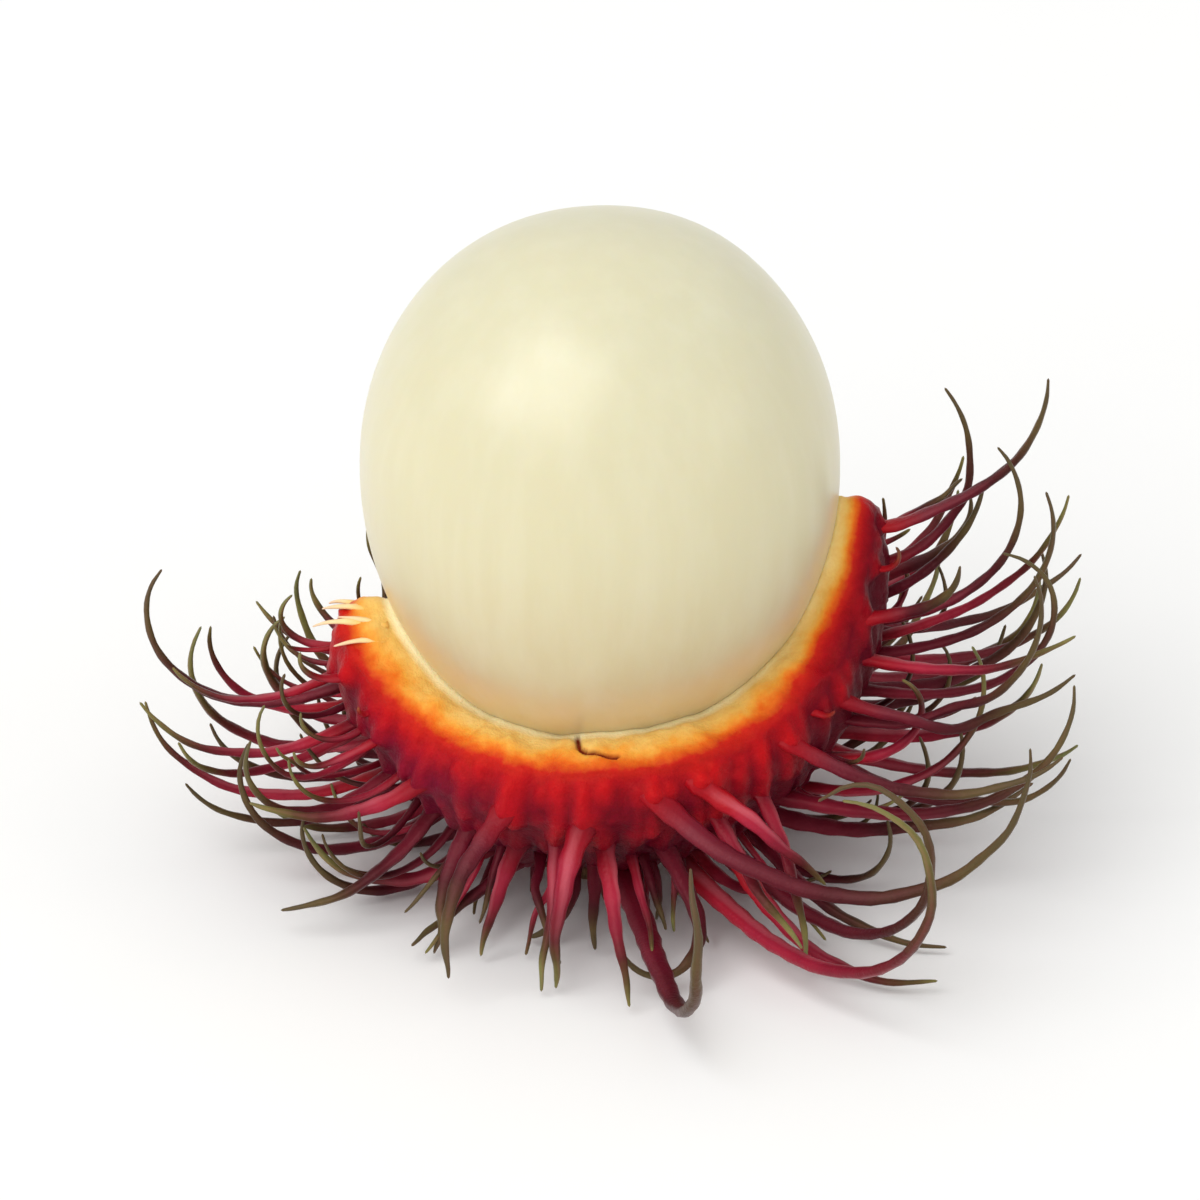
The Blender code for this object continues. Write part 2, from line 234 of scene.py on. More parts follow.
def spine_route(azimuth, height, length, lift, turn, lateness):
    """A spine's middle line: it bends in lift and turn, more towards its tip, and stays off the floor."""
    radius, level = body_outline(body_angle(height))
    steps = (np.arange(ROUTE_STEPS) + 0.5) / ROUTE_STEPS
    bend = steps**lateness
    rise = np.radians(lift[0] + (lift[1] - lift[0]) * bend)
    way = azimuth + turn[0] + (turn[1] - turn[0]) * bend
    moves = np.cumsum(ring(way, np.cos(rise), np.sin(rise)), axis=0) / ROUTE_STEPS
    drop = max(-moves[:, 2].min(), LEAST_DROP)
    length = min(length, (level - FLOOR_CLEARANCE) / drop)
    return ring(azimuth, radius, level) + np.vstack([np.zeros(3), moves]) * length


def spine_widths(width):
    """A spine's half width at each point of its route: a flared base, then a taper."""
    along = np.linspace(0, 1, ROUTE_STEPS + 1)
    taper = TIP_WIDTH + (width - TIP_WIDTH) * (1 - along) ** TAPER
    return (taper + FLARE * width * np.exp(-along / FLARE_PART)) * MM / 2


def lattice_roots(taken, count, shift, seed, spacing, barer, top, front_top):
    """Roots on a golden-angle lattice from the foot to the rim, wherever there is room, none above top
    and none in front above front_top.

    For each it gives the azimuth, the height in mm, how far below the rim it is (0 to 1), the usual
    lift, the style between curling and hanging, and five random numbers.
    """
    chance = np.random.default_rng(seed)
    roots = [tuple(ring(spine[0], *body_outline(body_angle(spine[1] * MM)))) for spine in taken]
    low = body_angle(LOWEST_ROOT)
    for index in range(count):
        azimuth = (index * GOLDEN_ANGLE + shift) % 360
        front = smooth((HANGING_HALF - abs((azimuth + 180) % 360 - 180)) / HANGING_FADE)
        high = body_angle(rim_height(azimuth) - BARE_BELOW_RIM - barer * front)
        part = (index + 0.5) / count
        angle = np.arccos(np.cos(low) + (np.cos(high) - np.cos(low)) * part)
        noise = chance.uniform(-1, 1, 5)
        radius, height = body_outline(angle)
        root = ring(azimuth, radius, height)
        crowded = min(np.linalg.norm(root - other) for other in roots) < spacing
        if crowded or height > top or (front > IN_FRONT and height > front_top):
            continue
        roots.append(tuple(root))
        below = smooth((rim_height(azimuth) - height - BARE_BELOW_RIM) / SHORT_BELOW_RIM)
        style = (1 - front) * np.array(CURLING) + front * np.array(HANGING)
        lift = FOLLOWS_SLOPE * (np.degrees(angle) - 90) + style[1]
        yield azimuth, height / MM, below, lift, style, noise


def filling_spines(taken):
    """Spines for the rest of the rind: hanging in front, and curling up and out elsewhere."""
    lattice = (LATTICE_POINTS, 0, SEED, ROOT_SPACING, BARER_IN_FRONT, np.inf, np.inf)
    spines = []
    for azimuth, height, below, lift, style, noise in lattice_roots(taken, *lattice):
        length = (SHORTEST + style[0] * below) * (1 + VARIED_LENGTH * noise[0])
        lift += VARIED_LIFT * noise[1]
        rise = style[2] + VARIED_RISE * noise[2]
        turn = VARIED_TURN * noise[3]
        sweep = turn + style[3] * noise[4]
        width = (THINNEST + THICKER * below) * (1 + VARIED_WIDTH * noise[1])
        spines.append((azimuth, height, length, lift, rise, turn, sweep, LATENESS, width))
    return spines


def fine_spines(taken):
    """Short, thin spines in the room between the others."""
    lattice = (FINE_POINTS, FINE_SHIFT, SEED + 3, FINE_SPACING, 0, FINE_TOP, FINE_FRONT_TOP)
    spines = []
    for azimuth, height, below, lift, style, noise in lattice_roots(taken, *lattice):
        length = FINE_SCALE * (SHORTEST + style[0] * below) * (1 + FINE_LENGTH * noise[0])
        lift += FINE_LIFT * noise[1]
        rise = style[2] + VARIED_RISE * noise[2]
        turn = FINE_TURN * noise[3]
        sweep = turn + FINE_SWEEP * style[3] * noise[4]
        width = FINE_WIDTH + FINE_WIDTHS * noise[2]
        spines.append((azimuth, height, length, lift, rise, turn, sweep, LATENESS, width))
    return spines


def spread(routes, widths):
    """Moves spines that cross a little apart, with their roots held, off the body and the floor."""
    count, points = widths.shape
    owner = np.repeat(np.arange(count), points)
    thick = widths.reshape(-1)
    flat = routes.reshape(-1, 3)
    near = np.linalg.norm(flat[:, None] - flat[None], axis=-1) < NEIGHBOURHOOD
    first, second = np.nonzero(near & (owner[:, None] < owner[None]))
    wanted = (thick[first] + thick[second] + CLEARANCE)[:, None]
    along = np.linspace(0, 1, points)[None, :, None]
    for _ in range(ROUNDS):
        flat = routes.reshape(-1, 3)
        apart = flat[first] - flat[second]
        distance = np.linalg.norm(apart, axis=1, keepdims=True) + 1e-9
        move = apart / distance * np.clip(wanted - distance, 0, None) / 2
        push = np.zeros_like(flat)
        np.add.at(push, first, move)
        np.add.at(push, second, -move)
        push = push.reshape(routes.shape)
        for _ in range(SOFTENINGS):
            ends = np.concatenate([push[:, :1], push, push[:, -1:]], axis=1)
            push = (ends[:, :-2] + 2 * ends[:, 1:-1] + ends[:, 2:]) / 4
        routes = off_the_body(routes + push * along**TIP_SHARE, widths[..., None], along)
    return routes


def off_the_body(routes, reach, along):
    """Keeps the routes outside the rind and the flesh, but for their roots, and above the floor."""
    height = np.clip(routes[..., 2:], BODY_FOOT, None)
    level = np.clip(height, None, BODY_FOOT + BODY_HALF_HEIGHT)
    inside = np.maximum(body_outline(body_angle(level))[0], flesh_radius(height))
    across = np.linalg.norm(routes[..., :2], axis=-1, keepdims=True) + 1e-9
    wanted = inside + (reach + CLEARANCE) * smooth(along / ROOT_PART)
    routes = routes.copy()
    routes[..., :2] *= np.maximum(wanted / across, 1)
    routes[..., 2:] = np.maximum(routes[..., 2:], reach)
    return routes


# The torn rim's fine jags: how many round the rim, their height and where they start.
JAGS = [(7, 0.16, 0.4), (13, 0.11, 2.1), (22, 0.05, 4.0), (37, 0.03, 1.3)]

# The pale membrane along the lip: a bead, and a groove this many bead widths below the lip.
BEAD = 0.14 * MM
BEAD_WIDTH = 0.24 * MM
GROOVE = 0.05 * MM
GROOVE_WIDTH = 0.32 * MM
GROOVE_BELOW = 3.2

# How far the finished lip stands off the flesh: it presses in a little.
LIP_GAP = -0.15 * MM

# A split in the torn face, at the front: down from the lip, then to the right, each corner as x and
# the distance below the lip, in mm.
SPLIT = [(-1.45, 0.55), (-1.35, 1.8), (-0.9, 2.3), (1.0, 2.8)]
SPLIT_WIDTH = 0.2 * MM
SPLIT_DEPTH = 0.45 * MM

# How golden the torn band is: azimuths, and how fast its colours pass there, 1 being the usual rate.
BAND_RATE = [
    (0, 0.95), (25, 0.95), (45, 1.0), (62, 1.3), (80, 2.1), (100, 2.2), (125, 1.5), (160, 1.1),
    (270, 1.0), (300, 0.9), (330, 0.9),
]

# The wall's grid, the height of the hollow in its scar, the swell of its torn face, upwards and the
# share of it outwards, and the lowest height that is looked up on its outline.
WALL_COLUMNS = 480
OUTER_ROWS = 92
SCAR_ROWS = 10
FLARE_ROWS = 8
TORN_ROWS = 18
INNER_ROWS = 22
SCAR_HOLLOW = 0.25 * MM
TORN_SWELL = 0.45 * MM
SWELL_OUT = 0.4
OUTLINE_LOW = BODY_FOOT + 0.1 * MM

# A rib runs up the wall from each spine's root, fading as it rises. Plain ribs hang from the torn band
# all round, and small bumps lie between them: both wander by some degrees and vary by these shares.
RIB_HEIGHT = 0.85 * MM
RIB_RADIUS = 0.95 * MM
RIB_LENGTH = 4.5 * MM
RIB_FADE = 0.5
RIBS_START = 0.9 * MM
SHORTEST_RIB = 0.2 * MM
PLAIN_RIBS = 47
PLAIN_LENGTH = 3.4 * MM
PLAIN_SHARE = 0.75
PLAIN_WANDER = 2.5
PLAIN_TOPS = 0.5
PLAIN_LENGTHS = 0.3
BUMPS = 420
BUMP_RADIUS = 0.62 * MM
BUMP_RADII = 0.3
BUMP_SHARE = 0.22
BUMP_WANDER = 9
BUMPS_START = 0.6 * MM

# How many of them are measured against the whole wall at once, to spare memory.
RIBS_AT_ONCE = 20
BUMPS_AT_ONCE = 40

# Where the ribs and bumps come in, by the distance below the lip and by height, and where the torn
# face's roughness comes and goes. Each span is a start and a length.
RAISED_BELOW_LIP = (0.6 * MM, 1.4 * MM)
RAISED_ABOVE_FLOOR = (0.8 * MM, 2.0 * MM)
TORN_FROM = (0.5 * MM, 0.8 * MM)
TORN_TO = (3.4 * MM, 1.5 * MM)

# Ripples of the wall, of its torn face and of the flesh: height and size in mm, and the seed.
WALL_RIPPLES = [(0.06, 2.2, 3), (0.03, 0.9, 4)]
TORN_RIPPLES = [(0.03, 0.9, 5), (0.12, 2.4, 6)]
FLESH_RIPPLES = [(0.10, 16, 8)]

# The flesh's grid, and the height at which its ripples come in.
FLESH_COLUMNS = 256
FLESH_ROWS = 150
RIPPLED_FROM = (20 * MM, 14 * MM)

# A spine's grid, how far it starts inside the wall, how far along it is drawn in to the wall, how far
# below the torn edge its root stays, and how flat its section is.
SPINE_STATIONS = 44
SPINE_SIDES = 14
ROOT_DEPTH = 1.2 * MM
ROOT_REACH = 3.0 * MM
ROOTS_BELOW = 1.4 * MM
BASE_FLATNESS = 0.58
TIP_FLATNESS = 0.9
TIP_THINNING = 0.35

# A spine's knots along it, its slight wave, the ridges round it (how many, and their share of its
# width), the length of its point in half widths, and its painted highlight streaks and their twist in
# radians.
KNOT = 0.07
KNOT_SPACING = 1.9 * MM
WAVE = 0.10 * MM
WAVE_LENGTH = 5.0 * MM
RIDGES = [(3, 0.06), (5, 0.04)]
POINT = 1.5
HIGHLIGHT_STREAKS = 2
HIGHLIGHT_TWIST = 3

# Fine spines between the others: points of their lattice and its turn in degrees, how close their
# roots may stand and how high, their size against the others, how they vary, and their grid.
FINE_POINTS = 330
FINE_SHIFT = 60
FINE_SPACING = 1.55 * MM
FINE_FRONT_TOP = 7.0 * MM
FINE_TOP = 15.0 * MM
FINE_SCALE = 0.6
FINE_LENGTH = 0.35
FINE_LIFT = 20
FINE_TURN = 30
FINE_SWEEP = 1.4
FINE_WIDTH = 0.62
FINE_WIDTHS = 0.12
FINE_STATIONS = 24
FINE_SIDES = 9

# Torn strands on the rim, frayed at its left: azimuth, place across the torn face from its edge to the
# lip, length in mm, lift and turn. Then how far their roots stand on the face and they start inside it,
# their width in mm, its share at no length and its gain for each mm, their taper, their sag in degrees
# and their grid.
STRANDS = [
    (284, 0.6, 2.9, 12, -8), (279, 0.45, 3.3, 6, -14), (281, 0.8, 3.0, 18, -20), (275, 0.55, 3.1, 2, -22),
    (271, 0.4, 2.5, 0, -30),
]
STRAND_RAISED = 0.1 * MM
STRAND_DEPTH = 0.3 * MM
STRAND_WIDTH = 0.75
STRAND_SHARE = 0.6
STRAND_GAIN = 0.1
STRAND_TAPER = 0.7
STRAND_SAG = 35
STRAND_STATIONS = 14
STRAND_SIDES = 7

# A spine's root takes the wall's colour from this much further down, in mm, clear of the golden band.
BAND_PASSED = 1.4

# The spines rooted above the first height, on the tongue, are dark; many of those below the second are
# darkened as painted shade low on the fruit.
DARK_ABOVE = 19.0 * MM
SHADED_BELOW = 6.0 * MM
SHADED_SHARE = 0.6
DARK_AND_SHADED_TINT = 0.72

# The pale membrane is mostly gone from the lip between two azimuths, and a dark purple painted shadow
# spreads round another one, below the torn band (in mm). The scar's brown fades up the wall. Each span is
# a start and a length.
MEMBRANE_LOST = 0.9
BARE_FROM = (35, 30)
BARE_TO = (130, 30)
SHADOW_SHARE = 0.75
SHADOW_AZIMUTH = -55
SHADOW_HALF = 22
SHADOW_BELOW = (4.2, 2.5)
SCAR_COLOUR_TO = (0.3 * MM, 1.6 * MM)

# The stage: half of the floor's side, the sky's strength, the lights' places and sizes and the height
# they face, and the camera's elevation in degrees, the height it faces, the width it takes in and its
# nearest and furthest distances.
FLOOR_HALF = 6.0
SKY = 0.68
KEY_PLACE = (-0.75, -0.80, 1.40)
KEY_SIZE = 1.6
FILL_PLACE = (1.4, -0.6, 0.65)
FILL_SIZE = 1.0
LIT_HEIGHT = 20 * MM
CAMERA_ELEVATION = 29
CAMERA_HEIGHT = 17.5 * MM
CAMERA_WIDTH = 74 * MM
CAMERA_CLIP = (0.01, 20)


def eased(value, span):
    """0 up to a span's start, then smoothly up to 1 over its length."""
    start, length = span
    return smooth((value - start) / length)


def ripple(points, size, seed, waves=11):
    """A smooth random height between about -1 and 1: a sum of sine waves, each its own way and about
    this long."""
    chance = np.random.default_rng(seed)
    ways = chance.normal(size=(waves, 3))
    ways *= (2 * np.pi / (size * chance.uniform(0.6, 1.6, waves)) / np.linalg.norm(ways, axis=1))[:, None]
    return np.sin(points @ ways.T + chance.uniform(0, 2 * np.pi, waves)).sum(axis=-1) / waves**0.5


def rippled(points, ripples):
    """The sum of some ripples, each with its height."""
    return sum(height * MM * ripple(points, size * MM, seed) for height, size, seed in ripples)


def nearness(points, centres, radii):
    """How near each point is to its nearest centre: 1 at a centre, falling as a bell, the bells joined
    by the fourth root of their summed fourth powers."""
    flat = points.reshape(-1, 3)
    total = np.zeros(len(flat))
    for start in range(0, len(centres), BUMPS_AT_ONCE):
        part = slice(start, start + BUMPS_AT_ONCE)
        square = ((flat[:, None] - centres[None, part]) ** 2).sum(axis=-1)
        total += np.exp(-2 * square / radii[None, part] ** 2).sum(axis=1)
    return (total**0.25).reshape(points.shape[:-1])


def rib_nearness(points, roots, tops, shares):
    """How near each point is to a rib: a bell across the straight line from root to top, lower towards
    the top, each rib with its share, joined as in nearness."""
    flat = points.reshape(-1, 3)
    total = np.zeros(len(flat))
    for start in range(0, len(roots), RIBS_AT_ONCE):
        part = slice(start, start + RIBS_AT_ONCE)
        root = roots[None, part]
        way = tops[None, part] - root
        reach = ((flat[:, None] - root) * way).sum(axis=-1) / (way**2).sum(axis=-1)
        reach = np.clip(reach, 0, 1)
        square = ((flat[:, None] - root - reach[..., None] * way) ** 2).sum(axis=-1)
        bell = shares[part] * np.exp(-2 * square / RIB_RADIUS**2) * (1 - RIB_FADE * reach)
        total += (bell**4).sum(axis=1)
    return (total**0.25).reshape(points.shape[:-1])


def closed_quads(rows, columns):
    """Four-sided faces between rows of points that close round."""
    row, column = np.meshgrid(np.arange(rows - 1), np.arange(columns), indexing="ij")
    following = (column + 1) % columns
    corners = [
        row * columns + column,
        row * columns + following,
        (row + 1) * columns + following,
        (row + 1) * columns + column,
    ]
    return np.stack(corners, axis=-1).reshape(-1, 4)


def pole_triangles(first, columns, pole, turn):
    """A fan from a pole to the row of points that starts at first."""
    column = np.arange(columns)
    fan = np.stack([first + column, first + (column + 1) % columns, np.full(columns, pole)], axis=1)
    return fan[:, ::turn]


def mesh_object(name, points, quads, triangles, values, material):
    """A smooth mesh from arrays of points and faces, with a named value at each point."""
    mesh = bpy.data.meshes.new(name)
    corners = np.concatenate([quads.ravel(), triangles.ravel()])
    sides = np.repeat([4, 3], [len(quads), len(triangles)])
    mesh.vertices.add(len(points))
    mesh.vertices.foreach_set("co", points.astype(np.float32).ravel())
    mesh.loops.add(len(corners))
    mesh.loops.foreach_set("vertex_index", corners.astype(np.int32))
    mesh.polygons.add(len(sides))
    mesh.polygons.foreach_set("loop_start", (np.cumsum(sides) - sides).astype(np.int32))
    mesh.update(calc_edges=True)
    for title, numbers in values.items():
        layer = mesh.attributes.new(title, "FLOAT", "POINT")
        layer.data.foreach_set("value", numbers.astype(np.float32).ravel())
    mesh.shade_smooth()
    mesh.materials.append(material)
    piece = bpy.data.objects.new(name, mesh)
    bpy.context.scene.collection.objects.link(piece)
    return piece


def turned_object(name, rows, poles, values, material):
    """A surface of rows that close round, with a fan at each end to a pole; each named value comes with
    its numbers at the two poles."""
    count, columns = rows.shape[:2]
    total = count * columns
    fans = np.concatenate([
        pole_triangles(0, columns, total, -1),
        pole_triangles(total - columns, columns, total + 1, 1),
    ])
    points = np.concatenate([rows.reshape(-1, 3), poles])
    everywhere = {title: np.append(numbers, ends) for title, (numbers, ends) in values.items()}
    return mesh_object(name, points, closed_quads(count, columns), fans, everywhere, material)


def place(piece, node):
    """The piece rides on the fruit and stands for a node of the frame."""
    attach(piece, "root")
    if node:
        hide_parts(node)


# Shapes.


def torn_rim_height(azimuth):
    """The rim's smooth curve with its jags: the sum of sine waves round it."""
    turn = np.radians(azimuth)
    jags = sum(size * np.sin(count * turn + shift) for count, size, shift in JAGS)
    return rim_height(azimuth) + jags * MM


def azimuth_of(points):
    return np.degrees(np.arctan2(points[..., 0], -points[..., 1]))


def length_along(lines):
    """How far along its line each point lies, the lines' points being on the second axis."""
    steps = np.linalg.norm(np.diff(lines, axis=1), axis=-1)
    return np.concatenate([np.zeros((len(lines), 1)), np.cumsum(steps, axis=1)], axis=1)


def wall_angles(azimuth):
    """The body outline's angles at the wall's foot and at its torn edge."""
    return np.arcsin(SCAR_FLARE / BODY_RADIUS), body_angle(torn_rim_height(azimuth) - RIM_SLOPE)


def wall_outline(azimuth, part):
    """Radius and height of the wall's outside, from the foot (0) to the torn edge (1)."""
    foot, edge = wall_angles(azimuth)
    edge_radius = flesh_radius(rim_height(azimuth), RIM_GAP) + rim_wall(azimuth)
    radius, height = body_outline(foot + (edge - foot) * part)
    shoulder = smooth((part - SHOULDER_START) / (1 - SHOULDER_START))
    return radius + (edge_radius - radius) * shoulder, height


def wall_part(azimuth, height):
    """Where a height lies on the wall's outside, from the foot (0) to the torn edge (1)."""
    foot, edge = wall_angles(azimuth)
    angle = body_angle(np.clip(height, OUTLINE_LOW, None))
    return np.clip((angle - foot) / (edge - foot), 0, 1)


def wall_profile(azimuth):
    """The wall before its ribs, row by row, how far each point lies below the lip along it, and the
    lip's row.

    The rows run from the scar out and up the spheroid, in to the torn edge, over the torn face to the
    lip, and down inside, where a gap opens to the flesh within the first third. Distances inside the lip
    are negative.
    """
    lip = torn_rim_height(azimuth)
    lip_radius = flesh_radius(lip, LIP_GAP)
    rows = []
    for part in np.linspace(0, 1, SCAR_ROWS)[1:-1]:
        radius = SCAR_RADIUS * part**0.7
        rows.append(ring(azimuth, radius, SCAR_HOLLOW * (1 - part) ** 2))
    foot_radius, foot_height = wall_outline(azimuth, 0.0)
    for part in np.linspace(0, 1, FLARE_ROWS)[:-1]:
        radius = SCAR_RADIUS + (foot_radius - SCAR_RADIUS) * part**1.6
        rows.append(ring(azimuth, radius, foot_height * part**0.8))
    for part in np.linspace(0, 1, OUTER_ROWS):
        rows.append(ring(azimuth, *wall_outline(azimuth, part)))
    edge_radius, edge = wall_outline(azimuth, 1.0)
    for part in np.linspace(0, 1, TORN_ROWS)[1:]:
        swell = TORN_SWELL * np.sin(np.pi * part)
        radius = edge_radius + (lip_radius - edge_radius) * part + swell * SWELL_OUT
        rows.append(ring(azimuth, radius, edge + (lip - edge) * part + swell))
    lip_row = len(rows) - 1
    depth = FLESH_BELOW + GAP
    last = np.arccos((FLESH_WAIST - lip) / depth)
    for part in np.linspace(1, 0, INNER_ROWS)[1:-1]:
        height = FLESH_WAIST - depth * np.cos(last * part)
        inside = GAP + (LIP_GAP - GAP) * smooth(part * 3 - 2)
        rows.append(ring(azimuth, flesh_radius(height, inside), height))
    rows = np.array(rows)
    length = length_along(rows.transpose(1, 0, 2)).T
    return rows, length[lip_row] - length, lip_row


def row_normals(rows):
    """The way out of a surface of rows that close round: the cross product of its two differences."""
    around = np.roll(rows, -1, axis=1) - np.roll(rows, 1, axis=1)
    along = np.gradient(rows, axis=0)
    normals = np.cross(around, along)
    return normals / (np.linalg.norm(normals, axis=-1, keepdims=True) + 1e-12)


def split_nearness(rows, below):
    """How near each point is to the split: a bell across the straight lines between its corners."""
    flat = np.stack([rows[..., 0], below], axis=-1)
    corners = np.array(SPLIT) * MM
    best = np.full(below.shape, np.inf)
    for start, end in zip(corners, corners[1:]):
        way = end - start
        part = np.clip(((flat - start) @ way) / (way @ way), 0, 1)
        best = np.minimum(best, np.linalg.norm(flat - start - part[..., None] * way, axis=-1))
    return np.exp(-((best / SPLIT_WIDTH) ** 2)) * (rows[..., 1] < 0)


def all_routes(spines):
    """The middle lines and half widths of some spines, spread apart and drawn in to the wall."""
    routes = np.array([
        spine_route(azimuth, height * MM, length * MM, (lift, rise), (turn, sweep), lateness)
        for azimuth, height, length, lift, rise, turn, sweep, lateness, _ in spines
    ])
    widths = np.array([spine_widths(spine[-1]) for spine in spines])
    return on_the_wall(spread(routes, widths)), widths


def on_the_wall(routes):
    """Moves each route's root to the wall's outside, clear of the torn edge; the move fades along it."""
    azimuth = azimuth_of(routes[:, 0])
    height = np.minimum(routes[:, 0, 2], rim_height(azimuth) - RIM_SLOPE - ROOTS_BELOW)
    radius, _ = wall_outline(azimuth, wall_part(azimuth, height))
    move = ring(azimuth, radius, height) - routes[:, 0]
    fade = np.exp(-((length_along(routes) / ROOT_REACH) ** 2))
    return routes + move[:, None] * fade[..., None]


def ribs(roots):
    """Both ends of each rib and its share: up the wall from each spine's root, and the plain ribs."""
    azimuth = azimuth_of(roots)
    high = np.clip(roots[:, 2] + RIB_LENGTH, None, rim_height(azimuth) - RIM_SLOPE - RIBS_START)
    high = np.maximum(high, roots[:, 2] + SHORTEST_RIB)
    tops = ring(azimuth, *wall_outline(azimuth, wall_part(azimuth, high)))
    index = np.arange(PLAIN_RIBS)
    plain = index * 360 / PLAIN_RIBS + PLAIN_WANDER * np.sin(index * 2.3)
    high = rim_height(plain) - RIM_SLOPE - RIBS_START * (1 + PLAIN_TOPS * np.sin(index * 1.7))
    low = high - PLAIN_LENGTH * (1 + PLAIN_LENGTHS * np.sin(index * 3.1))
    ends = [ring(plain, *wall_outline(plain, wall_part(plain, level))) for level in (low, high)]
    shares = np.concatenate([np.ones(len(roots)), np.full(PLAIN_RIBS, PLAIN_SHARE)])
    return np.concatenate([roots, ends[0]]), np.concatenate([tops, ends[1]]), shares


def bumps():
    """The small bumps' middles and radii: a golden-angle lattice on the wall, unevenly turned."""
    index = np.arange(BUMPS)
    top = body_angle(rim_height(index * GOLDEN_ANGLE % 360) - BUMPS_START)
    angle = np.arccos(1 - (1 - np.cos(top)) * (index + 0.5) / BUMPS)
    middles = ring(index * GOLDEN_ANGLE + BUMP_WANDER * np.sin(index * 5.3), *body_outline(angle))
    return middles, BUMP_RADIUS * (1 + BUMP_RADII * np.sin(index * 2.7))


def wall_surface(roots, height):
    """The rind's wall: its profile turned round the fruit, raised along its normals by a rib over each
    spine's root and a bell over each small bump, and roughened by ripples."""
    azimuth = np.arange(WALL_COLUMNS) * 360 / WALL_COLUMNS
    rows, below, lip_row = wall_profile(azimuth)
    normals = row_normals(rows)
    outside = eased(below, RAISED_BELOW_LIP) * eased(rows[..., 2], RAISED_ABOVE_FLOOR)
    mound = np.maximum(rib_nearness(rows, *ribs(roots)), BUMP_SHARE * nearness(rows, *bumps()))
    torn = eased(below, TORN_FROM) * (1 - eased(below, TORN_TO))
    raised = (mound * height + rippled(rows, WALL_RIPPLES)) * outside
    raised += torn * rippled(rows, TORN_RIPPLES)
    raised += BEAD * np.exp(-(((below - BEAD_WIDTH) / BEAD_WIDTH) ** 2))
    raised -= GROOVE * np.exp(-(((below - GROOVE_BELOW * BEAD_WIDTH) / GROOVE_WIDTH) ** 2))
    split = split_nearness(rows, below)
    raised -= split * SPLIT_DEPTH
    raised[lip_row:] = 0
    return rows + normals * raised[..., None], below / MM, mound, split


def catmull_rom(count, stations):
    """Weights that take count points to more stations on a smooth curve through them."""
    spots = np.linspace(0, count - 1, stations)
    before = np.clip(spots.astype(int), 0, count - 2)
    part = spots - before
    weights = np.zeros((stations, count))
    parts = [
        -0.5 * part**3 + part**2 - 0.5 * part,
        1.5 * part**3 - 2.5 * part**2 + 1,
        -1.5 * part**3 + 2 * part**2 + 0.5 * part,
        0.5 * part**3 - 0.5 * part**2,
    ]
    for offset, share in zip((-1, 0, 1, 2), parts):
        np.add.at(weights, (np.arange(stations), np.clip(before + offset, 0, count - 1)), share)
    return weights


def strand_lines(routes, widths, phase, depth, stations):
    """Each strand's middle line and half widths, and how far along it they stand, in metres and as a
    share: a smooth curve through its route, from a little inside the wall, its knots a sine along it."""
    weights = catmull_rom(routes.shape[1], stations - 1)
    lines = np.einsum("st,ntk->nsk", weights, routes)
    halves = widths @ weights.T
    outward = lines[:, :1] * (1, 1, 0)
    outward *= depth / np.linalg.norm(outward, axis=-1, keepdims=True)
    lines = np.concatenate([lines[:, :1] - outward, lines], axis=1)
    halves = np.concatenate([halves[:, :1], halves], axis=1)
    length = length_along(lines) - depth
    along = np.clip(length / length[:, -1:], 0, 1)
    halves = halves * (1 - TIP_THINNING * along**2)
    halves *= 1 + KNOT * np.sin(2 * np.pi * length / KNOT_SPACING + phase[:, 1:2])
    return lines, halves, length, along


def carried_frames(lines):
    """Unit vectors along each line, across it and up from both, carried along without twisting."""
    ways = np.gradient(lines, axis=1)
    ways /= np.linalg.norm(ways, axis=-1, keepdims=True)
    across = np.empty_like(lines)
    side = np.cross(ways[:, 0], (0.0, 0.0, 1.0))
    for station in range(lines.shape[1]):
        way = ways[:, station]
        side = side - way * (side * way).sum(axis=1, keepdims=True)
        side /= np.linalg.norm(side, axis=1, keepdims=True)
        across[:, station] = side
    return ways, across, np.cross(ways, across)


def strand_surface(routes, widths, depth, stations, sides):
    """Spines or strands: a flattened, ridged oval carried along each route, its ridges cosines round
    it, closed to a point at both ends."""
    chance = np.random.default_rng(SEED)
    phase = chance.uniform(0, 2 * np.pi, (len(routes), 3))
    lines, halves, length, along = strand_lines(routes, widths, phase, depth, stations)
    ways, across, ups = carried_frames(lines)
    wave = WAVE * np.sin(2 * np.pi * length / WAVE_LENGTH + phase[:, :1]) * along
    lines = lines + across * wave[..., None]
    turn = np.arange(sides) * 2 * np.pi / sides
    flat = BASE_FLATNESS + (TIP_FLATNESS - BASE_FLATNESS) * along
    ridge = 1.0
    for column, (number, share) in enumerate(RIDGES):
        ridge = ridge + share * np.cos(number * turn + phase[:, column : column + 1, None])
    wide = np.cos(turn) * halves[..., None] * ridge
    thin = np.sin(turn) * (halves * flat)[..., None] * ridge
    points = lines[:, :, None] + wide[..., None] * across[:, :, None] + thin[..., None] * ups[:, :, None]
    tips = lines[:, -1] + ways[:, -1] * halves[:, -1:] * POINT
    # Painted highlight: where the pale streaks run round each spine.
    highlight_streak = np.cos(HIGHLIGHT_STREAKS * turn + phase[:, 2:3, None] + HIGHLIGHT_TWIST * along[..., None])
    values = {
        "along": (along[..., None], 1),
        "from_root": (length[..., None] / MM, length[:, -1] / MM),
        "highlight_streak": (highlight_streak, 0),
    }
    return points, lines[:, 0], tips, values


